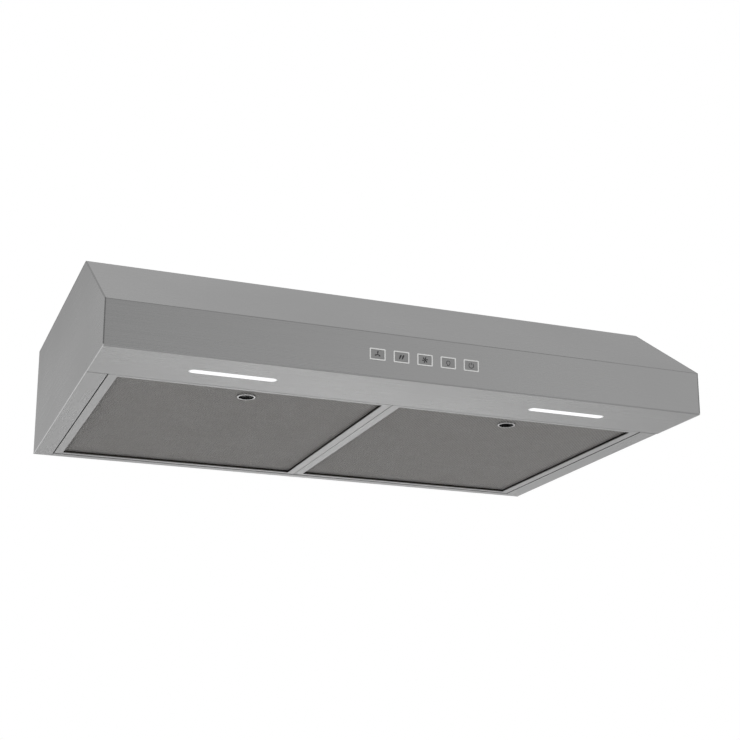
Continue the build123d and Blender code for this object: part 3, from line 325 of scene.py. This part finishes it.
def rim_with_painted_glow(name, strength):
    """The pale plastic rim of a button, with a faint painted glow."""
    f = Finish(name)
    clouds = f.noise(300.0)
    tooth = f.noise(2000.0)
    tone = f.mix(f.span(clouds, 0, 1), (0.80, 0.80, 0.79, 1), (0.88, 0.88, 0.87, 1))
    glow = f.mix(f.span(clouds, 0, 1), (0.92, 0.94, 0.95, 1), (1.0, 1.0, 1.0, 1))
    # painted glow: a faint emission brightens the rim
    return f.surface(Base_Color=tone, Roughness=f.span(tooth, 0.3, 0.4), Emission_Color=glow,
                     Emission_Strength=strength, Normal=f.bump(tooth, 0.00001))


FINISHES = {
    "stainless": brushed("brushed_stainless", STEEL, X_AXIS),
    "galvanised": spangled("zinc_spangle", 0.46),
    "fasteners": worked_metal("zinc_plated_screws", 0.5, 0.3),
    "mesh_aluminium": mesh_finish("mesh_aluminium", 0.62, 0.4),
    "latch_metal": worked_metal("bright_latch_metal", 0.55, 0.16),
    "latch_black": moulded("latch_black_plastic", (0.02, 0.02, 0.021), 0.4),
    "spring_steel": worked_metal("spring_steel", 0.45, 0.28),
    "motor_paint": moulded("motor_black_enamel", (0.03, 0.032, 0.035), 0.35, relief=0.00005),
    "bronze": worked_metal("bearing_bronze", 0.4, 0.35, warm=0.3),
    "laminations": laminated("motor_laminations"),
    "shaft_steel": worked_metal("ground_shaft_steel", 0.6, 0.2, scale=900.0),
    "black_plastic": moulded("black_moulding", (0.025, 0.025, 0.026), 0.45),
    "grey_plastic": moulded("grey_moulding", (0.3, 0.31, 0.32), 0.45),
    "bezel_white": rim_with_painted_glow("pale_button_rim_painted_glow", 0.04),
    "button_grey": brushed("button_face_steel", 0.38, X_AXIS, rough=0.4),
    "board_green": circuit_board("circuit_board_green"),
    "lens_opal": glowing("lit_opal_lens", 0.7),
}


def canopy_steel(bottom, half):
    """The canopy's sheet, with painted shade along the joints with the side panels and a painted highlight
    at the rail's ends.
    """
    # painted shade along the joints with the side panels
    seam = {"X": (half - SEAM_WIDTH, half + PAST), "Z": (bottom + SEAM_START, PAST)}
    # painted highlight at the rail's ends
    rail_end = {"X": (half - FOLD_WIDTH, half + PAST), "Z": (bottom - PAST, bottom + SEAM_START)}
    painted_light_zones = [(seam, SEAM_SHADE_TONE), (rail_end, RAIL_END_HIGHLIGHT)]
    return brushed("brushed_stainless_canopy_painted_light", STEEL, X_AXIS, painted_light_zones=painted_light_zones)


def side_steel(bottom, half):
    """A side panel's sheet, with painted shade towards the top, a painted highlight along its fold and
    painted shade at the flange's edge.
    """
    # painted highlight along the fold at the panel's bottom edge
    fold = {"X": (half - FOLD_WIDTH, half + PAST), "Z": (bottom - PAST, bottom + FOLD_WIDTH)}
    # painted shade along the flange's cut edge
    edge_x = half - SIDE_FLANGE
    edge = {"X": (edge_x - EDGE_REACH, edge_x + EDGE_REACH), "Z": (bottom + EDGE_START, bottom + EDGE_END)}
    painted_light_zones = [(fold, FOLD_HIGHLIGHT), (edge, EDGE_SHADE_TONE)]
    return brushed("brushed_stainless_side_painted_light", STEEL, Y_AXIS, dull=SIDE_PAINTED_SHADE, painted_light_zones=painted_light_zones)


def special_finishes():
    """The finishes of nodes that differ from others in their slot."""
    low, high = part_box("canopy_front")
    special = {"canopy_front": canopy_steel(low.z, high.x)}
    side_finish = side_steel(low.z, high.x)
    for side in SIDES:
        special["side_panel_" + side] = side_finish
        special["filter_frame_" + side] = filter_frame_finish(side, FILTER_ALUMINIUM)
    return special


SPECIAL = special_finishes()
for part in RECORD["subparts"]:
    node = part["node"]
    mesh = frame["nodes"][node].data
    mesh.materials.clear()
    mesh.materials.append(SPECIAL[node] if node in SPECIAL else FINISHES[part["material_slot"]])


# ---------------------------------------------------------------- filter mesh

STRAND_STEP_X = 0.0050  # long way of one diamond
STRAND_STEP_Y = 0.0028  # short way of one diamond
STRAND_WIDTH = 0.00075
STRAND_THICK = 0.00040
STRAND_TILT = 0.00012  # one edge of a strand stands this much over its middle
LATCH_CLEAR = 0.0109  # radius of the core sheet's hole round the latch cup
STRAND_CLEAR = 0.0119  # no strand's middle is nearer than this to the cup's axis
CORE_THICK = 0.0003
OUTER_LIFT = 0.0001  # the outer sheet over the bottom of the pack
INNER_DROP = 0.0006  # the inner sheet under its top


def linked(name, mesh, material):
    """A new object in the scene with this mesh and material."""
    mesh.materials.append(material)
    piece = bpy.data.objects.new(name, mesh)
    bpy.context.scene.collection.objects.link(piece)
    return piece


def new_object(name, verts, faces, material, smooth=False):
    mesh = bpy.data.meshes.new(name)
    mesh.from_pydata(verts, [], faces)
    mesh.update()
    if smooth:
        mesh.polygons.foreach_set("use_smooth", [True] * len(mesh.polygons))
    return linked(name, mesh, material)


def thickened(name, build, shift, material):
    """An object from flat faces, which get a thickness and become closed shells."""
    grown = bmesh.ops.extrude_face_region(build, geom=list(build.faces))
    lifted = [v for v in grown["geom"] if isinstance(v, bmesh.types.BMVert)]
    bmesh.ops.translate(build, vec=shift, verts=lifted)
    bmesh.ops.recalc_face_normals(build, faces=build.faces)
    mesh = bpy.data.meshes.new(name)
    build.to_mesh(mesh)
    build.free()
    return linked(name, mesh, material)


def circle(radius, steps):
    """Points round the origin, from +X."""
    angles = [2 * math.pi * i / steps for i in range(steps)]
    return [(radius * math.cos(a), radius * math.sin(a)) for a in angles]


def strand(verts, faces, first, last, z):
    """One flat strand between two knots, turned a little out of the sheet's plane."""
    along = Vector((last[0] - first[0], last[1] - first[1], 0.0))
    side = Vector((-along.y, along.x, 0.0)).normalized() * (STRAND_WIDTH / 2)
    lean = Vector((0, 0, STRAND_TILT))
    base = len(verts)
    for end in (first, last):
        middle = Vector((end[0], end[1], z))
        for across, up in ((-1, 0), (1, 0), (1, 1), (-1, 1)):
            verts.append(middle + side * across + lean * across + Vector((0, 0, STRAND_THICK * up)))
    for a, b in ((0, 1), (1, 2), (2, 3), (3, 0)):
        faces.append((base + a, base + b, base + b + 4, base + a + 4))


def expanded_mesh(name, low, high, z, hole, offset=0.0):
    """A sheet of expanded aluminium: rows of diamonds, left out where the latch cup passes.
    offset moves the rows back, so that two sheets don't lie strand on strand."""
    verts, faces = [], []
    columns = int((high.x - low.x) / (STRAND_STEP_X / 2))
    rows = int((high.y - low.y) / STRAND_STEP_Y)
    for row in range(rows):
        y0 = low.y + offset + row * STRAND_STEP_Y
        for column in range(columns):
            x0 = low.x + column * STRAND_STEP_X / 2
            x1 = x0 + STRAND_STEP_X / 2
            rising = (column + row) % 2 == 0
            ya, yb = (y0, y0 + STRAND_STEP_Y) if rising else (y0 + STRAND_STEP_Y, y0)
            if math.dist(((x0 + x1) / 2, (ya + yb) / 2), hole) < STRAND_CLEAR:
                continue
            strand(verts, faces, (x0, ya), (x1, yb), z)
    return new_object(name, verts, faces, FINISHES["mesh_aluminium"])


def backing_sheet(name, low, high, z, hole):
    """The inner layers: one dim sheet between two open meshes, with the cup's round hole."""
    build = bmesh.new()
    ring = [(hole[0] + x, hole[1] + y) for x, y in circle(LATCH_CLEAR, 48)]
    corners = [(low.x, low.y), (high.x, low.y), (high.x, high.y), (low.x, high.y)]
    edges = []
    for loop in (ring, corners):
        points = [build.verts.new((x, y, z)) for x, y in loop]
        edges += [build.edges.new(pair) for pair in zip(points, points[1:] + points[:1])]
    bmesh.ops.triangle_fill(build, use_beauty=True, edges=edges)
    return thickened(name, build, (0, 0, CORE_THICK), INNER_MESH)


def inner_mesh_finish():
    """Deeper mesh layers crushed together: a dim, uneven net."""
    f = Finish("inner_mesh_layers")
    mapping = f.add("ShaderNodeMapping", {"Vector": f.place, "Scale": (1.0, 1.7, 1.0)})
    values = {"Vector": mapping.outputs["Vector"], "Scale": 420.0}
    net = f.add("ShaderNodeTexVoronoi", values, feature="DISTANCE_TO_EDGE").outputs["Distance"]
    clouds = f.noise(60.0, detail=4.0)
    tone = f.mix(f.span(net, 1, 0, 0.05, 0.16), grey(0.32, 0.02), grey(0.56, 0.02))
    tone = f.mix(f.span(clouds, 0, 0.4), tone, grey(0.36, 0.02))
    gloss = f.span(clouds, 0.5, 0.65)
    return f.surface(Base_Color=tone, Metallic=0.1, Roughness=gloss, Normal=f.bump(net, 0.0004))


INNER_MESH = inner_mesh_finish()
for side in SIDES:
    low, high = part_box("filter_mesh_" + side)
    cup_low, cup_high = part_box("latch_cup_" + side)
    centre = ((cup_low.x + cup_high.x) / 2, (cup_low.y + cup_high.y) / 2)
    body = BODY_OF["filter_mesh_" + side]
    outer_z, inner_z = low.z + OUTER_LIFT, high.z - INNER_DROP
    outer = expanded_mesh("filter_mesh_outer_" + side, low, high, outer_z, centre)
    inner = expanded_mesh("filter_mesh_inner_" + side, low, high, inner_z, centre, STRAND_STEP_Y / 2)
    back = backing_sheet("filter_mesh_core_" + side, low, high, (low.z + high.z) / 2, centre)
    for piece in (outer, inner, back):
        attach(piece, body)
    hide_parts("filter_mesh_" + side)


# ---------------------------------------------------------------- latch springs

SPRING_WIRE = 0.0004
SPRING_TURNS = 4
SPRING_STEPS, SPRING_SIDES = 24, 8  # stations along one turn, and corners of the wire's section


def coil_spring(name, low, high):
    """A coil of round wire along Y that fills the given box."""
    verts, faces = [], []
    middle = (low + high) / 2
    radius = (high.z - low.z - SPRING_WIRE) / 2
    steps, sides = SPRING_STEPS * SPRING_TURNS, SPRING_SIDES
    length = high.y - low.y - SPRING_WIRE
    for i in range(steps + 1):
        turn = 2 * math.pi * SPRING_TURNS * i / steps
        out = Vector((math.cos(turn), 0, math.sin(turn)))
        centre = Vector((middle.x, low.y + SPRING_WIRE / 2 + length * i / steps, middle.z)) + out * radius
        for k in range(sides):
            a = 2 * math.pi * k / sides
            verts.append(centre + (out * math.cos(a) + Vector((0, 1, 0)) * math.sin(a)) * SPRING_WIRE / 2)
    for i in range(steps):
        for k in range(sides):
            a, b = i * sides + k, i * sides + (k + 1) % sides
            faces.append((a, b, b + sides, a + sides))
    faces.append(tuple(range(sides - 1, -1, -1)))
    faces.append(tuple(range(steps * sides, (steps + 1) * sides)))
    return new_object(name, verts, faces, FINISHES["spring_steel"], smooth=True)


for side in SIDES:
    node = "latch_spring_" + side
    low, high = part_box(node)
    spring = coil_spring("latch_coil_" + side, low, high)
    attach(spring, BODY_OF[node])
    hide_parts(node)
    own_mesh(spring)


# ---------------------------------------------------------------- button icons

ICON_THICK = 0.00008
MM = 0.001
HUB = 0.7  # the blades start this far from the fan's middle, in millimetres


def ink_finish():
    """Matt dark ink, printed thick."""
    f = Finish("dark_icon_ink")
    grain = f.noise(2500.0)
    tone = f.mix(f.span(grain, 0, 1), (0.02, 0.02, 0.022, 1), (0.045, 0.045, 0.048, 1))
    return f.surface(Base_Color=tone, Roughness=f.span(grain, 0.45, 0.6), Normal=f.bump(grain, 0.00001))


INK = ink_finish()


def turned(points, degrees):
    """The outline turned about the icon's middle."""
    a = math.radians(degrees)
    return [(x * math.cos(a) - z * math.sin(a), x * math.sin(a) + z * math.cos(a)) for x, z in points]


def blade(length, width, lean=0.0, steps=20):
    """A teardrop blade from the hub outwards, in millimetres."""
    points = []
    for i in range(steps):
        t = 2 * math.pi * i / steps
        reach = (1 - math.cos(t)) / 2 * length + HUB
        half = math.sin(t) * width / 2 * (0.55 + 0.45 * reach / length)
        points.append((half + lean * reach, reach))
    return points


def arc_band(radius, width, start, end, steps=40):
    """A part ring between two angles, in degrees from +X."""
    angles = [math.radians(start + (end - start) * i / steps) for i in range(steps + 1)]
    far, near = radius + width / 2, radius - width / 2
    outer = [(far * math.cos(a), far * math.sin(a)) for a in angles]
    inner = [(near * math.cos(a), near * math.sin(a)) for a in reversed(angles)]
    return outer + inner


def bar(x0, z0, x1, z1, width):
    """A straight stroke between two points."""
    dx, dz = x1 - x0, z1 - z0
    size = math.hypot(dx, dz)
    nx, nz = -dz / size * width / 2, dx / size * width / 2
    return [(x0 + nx, z0 + nz), (x0 - nx, z0 - nz), (x1 - nx, z1 - nz), (x1 + nx, z1 + nz)]


def moved(points, x, z):
    """The outline shifted, in millimetres."""
    return [(px + x, pz + z) for px, pz in points]


def bulb():
    """A lamp: an open ring with its cap under it."""
    walls = [bar(x, -2.0, x, -3.2, 0.6) for x in (-1.1, 1.1)]
    return [arc_band(2.3, 0.7, -55, 235)] + walls + [bar(-1.4, -3.4, 1.4, -3.4, 0.7)]


ICONS = {
    "low": [turned(blade(3.2, 1.9, 0.25), a) for a in (10, 130, 250)] + [circle(0.8, 24)],
    "medium": [moved(turned(blade(6.6, 2.4), -24), x, -3.8) for x in (-3.3, 0.1)],
    "high": [turned(blade(3.0, 1.7, 0.3), a) for a in range(0, 360, 60)] + [circle(1.0, 24)],
    "light": bulb(),
    "power": [arc_band(3.1, 0.8, 125, 415), bar(0, 0.8, 0, 3.9, 0.8)],
}


def icon(name, shapes, centre, face_y):
    """Flat shapes standing a hair's breadth off the button's face."""
    build = bmesh.new()
    for shape in shapes:
        build.faces.new([build.verts.new((centre.x + x * MM, face_y, centre.z + z * MM)) for x, z in shape])
    bmesh.ops.recalc_face_normals(build, faces=build.faces)
    return thickened(name, build, (0, -ICON_THICK, 0), INK)


for key, shapes in ICONS.items():
    low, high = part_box("button_" + key)
    centre = (low + high) / 2
    piece = icon("icon_" + key, shapes, centre, low.y)
    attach(piece, BODY_OF["button_" + key])


# ---------------------------------------------------------------- studio

FLOOR_Z = -1.0
FLOOR_HALF = 15.0
KEY_PLACE, KEY_SIZE, KEY_POWER = (-2.4, -2.4, 2.8), (2.6, 1.8), 47
WASH_PLACE, WASH_SIZE, WASH_POWER = (0.8, 2.4, 0.05), (0.8, 1.1), 10.8
ROOM = 0.59  # the room's own level, for light and reflections
ROOM_DARKEST = 0.02
WHITE = (1, 1, 1, 1)


def floor_finish():
    """Pale matt paint with slow clouds."""
    f = Finish("pale_floor")
    clouds = f.noise(1.5)
    tone = f.mix(f.span(clouds, 0, 1), (0.80, 0.80, 0.80, 1), (0.84, 0.84, 0.84, 1))
    return f.surface(Base_Color=tone, Roughness=f.span(clouds, 0.6, 0.7))


def floor():
    signs = ((-1, -1), (1, -1), (1, 1), (-1, 1))
    verts = [(x * FLOOR_HALF, y * FLOOR_HALF, FLOOR_Z) for x, y in signs]
    return new_object("floor", verts, [(0, 1, 2, 3)], floor_finish())


floor()


def softbox(name, place, target, size, power):
    """A rectangular light that faces its target and isn't seen itself."""
    light = bpy.data.lights.new(name, "AREA")
    light.shape = "RECTANGLE"
    light.size, light.size_y = size
    light.energy = power
    lamp = bpy.data.objects.new(name, light)
    lamp.location = place
    lamp.visible_camera = False
    lamp.rotation_euler = (Vector(target) - Vector(place)).to_track_quat("-Z", "Y").to_euler()
    bpy.context.scene.collection.objects.link(lamp)
    return lamp


softbox("key", KEY_PLACE, (0, 0, 0), KEY_SIZE, KEY_POWER)
wash_target = (WASH_PLACE[0], WASH_PLACE[1], FLOOR_Z)
floor_wash = softbox("floor_wash", WASH_PLACE, wash_target, WASH_SIZE, WASH_POWER)
floor_wash.visible_glossy = False

# Broad panels of the room: which way each lies, how tight it is, and what it adds or takes away.
LOBES = [
    ((0.45, -0.86, 0.25), 12, 0.22),
    ((-0.05, -0.95, 0.30), 7, -0.27),
    ((0.30, -0.25, 0.92), 16, -0.46),
    ((-0.25, 0.68, 0.69), 6, 0.11),
    ((-0.15, 0.97, 0.12), 30, 0.09),
    ((-0.30, 0.93, 0.20), 10, -0.12),
    ((-0.16, 0.88, 0.46), 40, -0.10),
    ((0.45, 0.62, 0.64), 10, -0.07),
    ((1.00, 0.00, 0.10), 8, 0.15),
    ((0.00, -1.00, -0.05), 20, 0.15),
]


def studio_world():
    """White to the camera. For light and reflections, a soft grey room with a few broad panels."""
    world = bpy.data.worlds.new("studio")
    studio = NodeTree(world)
    toward = studio.add("ShaderNodeTexCoord").outputs["Generated"]
    level = ROOM
    for centre, tightness, strength in LOBES:
        dot = studio.add("ShaderNodeVectorMath", operation="DOT_PRODUCT")
        studio.put(dot.inputs[0], toward)
        studio.put(dot.inputs[1], Vector(centre).normalized())
        facing = studio.calc(dot.outputs["Value"], 0.0, "MAXIMUM")
        lobe = studio.calc(studio.calc(facing, tightness, "POWER"), strength, "MULTIPLY")
        level = studio.calc(lobe, level)
    level = studio.calc(level, ROOM_DARKEST, "MAXIMUM")
    room = studio.add("ShaderNodeBackground", {"Color": WHITE, "Strength": level})
    backdrop = studio.add("ShaderNodeBackground", {"Color": WHITE})
    seen = studio.add("ShaderNodeLightPath").outputs["Is Camera Ray"]
    both = studio.add("ShaderNodeMixShader")
    for socket, value in zip(both.inputs, (seen, room.outputs[0], backdrop.outputs[0])):
        studio.put(socket, value)
    studio.add("ShaderNodeOutputWorld", {"Surface": both.outputs[0]})
    return world


bpy.context.scene.world = studio_world()
bpy.context.scene.view_settings.view_transform = "Standard"

CAMERA_FROM_CORNER = Vector((-0.25883, -1.46918, -0.49546))
CAMERA_LOOKS_UP, CAMERA_TURNS_RIGHT = 14.150, 21.164

camera = bpy.data.objects.new("camera", bpy.data.cameras.new("camera"))
bpy.context.scene.collection.objects.link(camera)
camera.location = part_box("canopy_front")[0] + CAMERA_FROM_CORNER
camera.rotation_euler = (math.radians(90 + CAMERA_LOOKS_UP), 0, math.radians(-CAMERA_TURNS_RIGHT))
camera.data.lens = 69.31
camera.data.sensor_width = 36
camera.data.shift_y = 0.12
camera.data.clip_start = 0.05
bpy.context.scene.camera = camera
